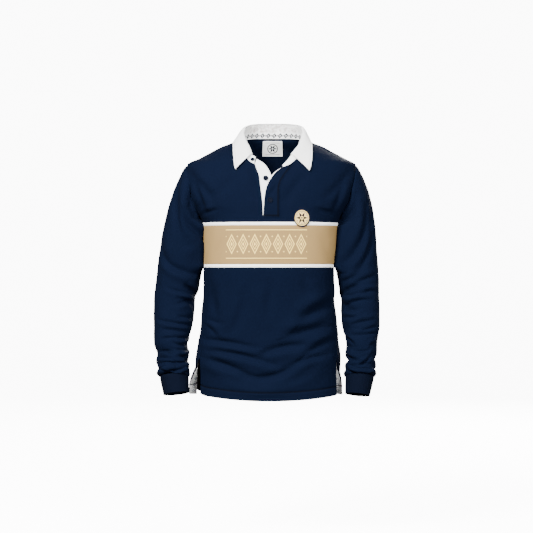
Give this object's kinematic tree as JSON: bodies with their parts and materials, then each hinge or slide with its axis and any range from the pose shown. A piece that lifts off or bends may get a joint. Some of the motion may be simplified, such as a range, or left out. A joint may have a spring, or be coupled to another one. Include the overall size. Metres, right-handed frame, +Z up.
{
  "type": "long-sleeved sports jersey",
  "caption": "Long-sleeved collared jersey in worn form, with an open buttoned placket, a contrast hoop round the chest and side vents.",
  "frame": {"origin": "middle of the neck base, level with the points where the shoulder line meets the collar", "axes": "+Z up along the wearer's back, -Y out of the chest, +X to the wearer's left"},
  "size_m": [0.6275, 0.249, 0.772],
  "materials": {
    "navy_cloth": "heavy plain jersey knit",
    "navy_rib": "fine rib knit",
    "tan_cloth": "heavy plain jersey knit",
    "white_cloth": "heavy plain jersey knit",
    "collar_cloth": "cotton twill",
    "white_tape": "woven cotton tape",
    "label_cloth": "satin label",
    "cream_cloth": "embroidered",
    "navy_button": "satin"
  },
  "bodies": {
    "root": {"back_band": "tan_cloth", "back_lower": "navy_cloth", "back_stripe_lower": "white_cloth", "back_stripe_upper": "white_cloth", "back_upper": "navy_cloth", "chest_badge": "cream_cloth", "collar_leaf": "collar_cloth", "collar_stand": "collar_cloth", "cuff_left": "navy_rib", "cuff_right": "navy_rib", "front_band": "tan_cloth", "front_lower": "navy_cloth", "front_stripe_lower": "white_cloth", "front_stripe_upper": "white_cloth", "front_upper": "navy_cloth", "neck_label": "label_cloth", "neck_tape": "white_tape", "over_placket": "navy_cloth", "placket_button_lower": "navy_button", "placket_button_upper": "navy_button", "placket_facing": "collar_cloth", "sleeve_left": "navy_cloth", "sleeve_right": "navy_cloth", "stand_button": "navy_button", "under_placket": "collar_cloth", "vent_tape_left": "white_tape", "vent_tape_right": "white_tape"}
  },
  "joints": []
}
